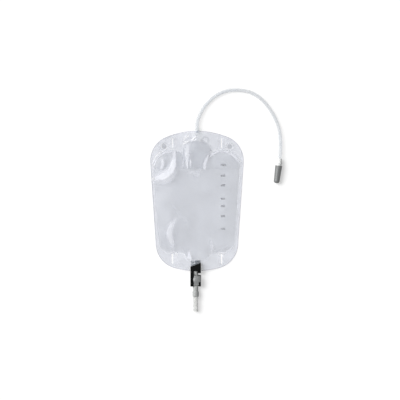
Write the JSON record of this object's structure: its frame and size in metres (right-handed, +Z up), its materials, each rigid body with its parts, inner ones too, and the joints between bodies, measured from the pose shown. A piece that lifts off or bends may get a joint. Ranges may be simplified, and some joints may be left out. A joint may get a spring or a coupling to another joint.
{
  "type": "urine drainage bag",
  "caption": "Flat pouch of two welded clear films with an inlet tube, a capped cone connector and a bottom outlet closed by a lever pinch clamp.",
  "frame": {"origin": "on the back film's outer face, at the middle of the bag's width and height, where the bag lies on a surface", "axes": "+Z up out of the front film, +Y along the bag towards the inlet port, +X to the right seen from the front"},
  "size_m": [0.2637, 0.4458, 0.0157],
  "materials": {
    "clear_film": "clear soft film, glossy",
    "clear_vinyl": "clear soft moulding, glossy",
    "white_plastic": "translucent white moulding",
    "grey_plastic": "satin moulding",
    "black_plastic": "satin moulding",
    "grey_rubber": "soft tube, satin",
    "pale_rubber": "soft tube, satin"
  },
  "bodies": {
    "bag": {"front_film": "clear_film", "back_film": "clear_film", "anti_reflux_flap": "clear_film", "inlet_port": "clear_vinyl", "inlet_tube": "clear_vinyl", "tube_connector": "white_plastic", "outlet_port": "clear_vinyl", "pinch_tube": "grey_rubber", "clamp_body": "black_plastic", "drain_tube": "pale_rubber"},
    "lever": {"clamp_lever": "grey_plastic"},
    "cap": {"connector_cap": "grey_plastic"}
  },
  "joints": [
    {"name": "lever_hinge", "type": "hinge", "parent": "bag", "child": "lever", "pos_m": [-0.0024, -0.16605, 0.0116], "axis": [1, 0, 0], "range_deg": [0, 120]},
    {"name": "cap_pull", "type": "slide", "parent": "bag", "child": "cap", "axis": [-0.1305, -0.9914, 0], "range_m": [0, 0.035]}
  ]
}
